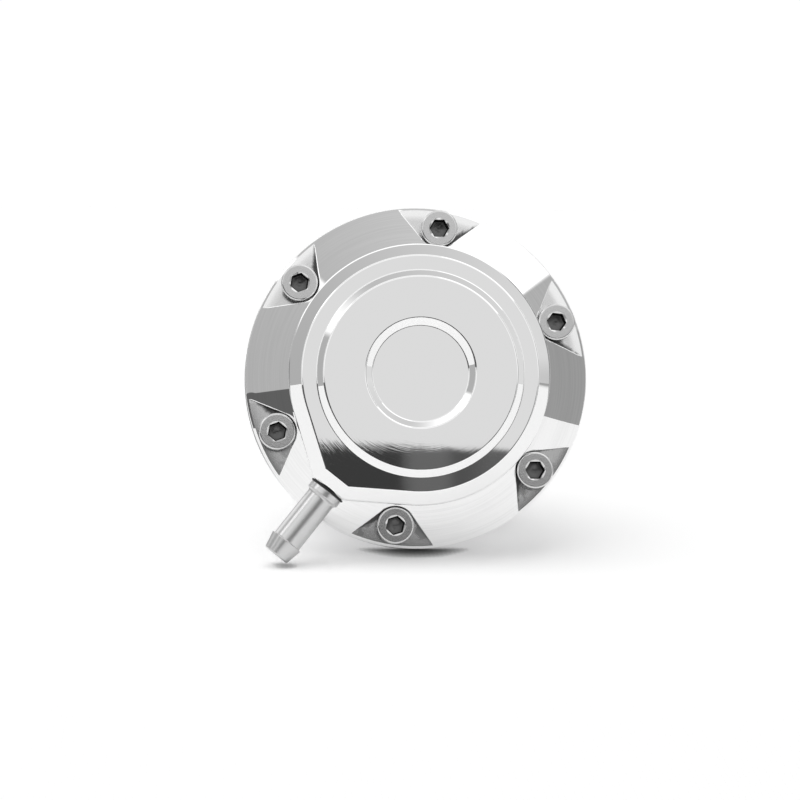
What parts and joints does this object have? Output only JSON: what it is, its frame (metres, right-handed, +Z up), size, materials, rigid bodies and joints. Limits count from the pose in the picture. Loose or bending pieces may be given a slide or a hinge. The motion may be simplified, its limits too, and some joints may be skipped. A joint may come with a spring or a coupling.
{
  "type": "wastegate actuator",
  "caption": "Round flanged diaphragm actuator with a billet cap, a radial hose nipple and a spring-returned push rod that ends in a flat eye.",
  "frame": {"origin": "where the rod's axis crosses the housing's mounting face", "axes": "+Y along the rod, out of the housing; -Y towards the cap's front face; +Z up, as the cap is seen in the picture"},
  "size_m": [0.08, 0.171, 0.0833],
  "materials": {
    "polished_aluminium": "mirror polished billet",
    "turned_aluminium": "fine turned",
    "pressed_aluminium": "pressed sheet",
    "screw_steel": "satin stainless",
    "plated_steel": "bright zinc plate",
    "stainless_steel": "ground",
    "spring_steel": "phosphated",
    "bronze": "sintered",
    "black_rubber": "matt",
    "diaphragm_rubber": "fabric-reinforced, matt"
  },
  "bodies": {
    "housing": {"housing": "turned_aluminium", "top_cap": "polished_aluminium", "cap_screws": "screw_steel", "hose_nipple": "plated_steel", "nipple_seal": "black_rubber", "diaphragm": "diaphragm_rubber", "spring_seat": "plated_steel", "outer_spring": "spring_steel", "inner_spring": "spring_steel", "guide_bush": "bronze", "wiper_seal": "black_rubber", "guide_circlip": "spring_steel", "mount_studs": "plated_steel"},
    "rod": {"actuator_rod": "stainless_steel", "piston_cup": "pressed_aluminium", "retainer_plate": "pressed_aluminium", "piston_lock_washer": "plated_steel", "piston_backing_washer": "plated_steel", "piston_nut": "plated_steel", "rod_lock_nut": "plated_steel", "rod_end": "stainless_steel"}
  },
  "joints": [
    {"name": "rod_slide", "type": "slide", "parent": "housing", "child": "rod", "axis": [0, 1, 0], "range_m": [0, 0.012], "stiffness_N_per_m": 8000, "springref_m": -0.011, "deforming": ["outer_spring", "inner_spring", "diaphragm"]}
  ]
}
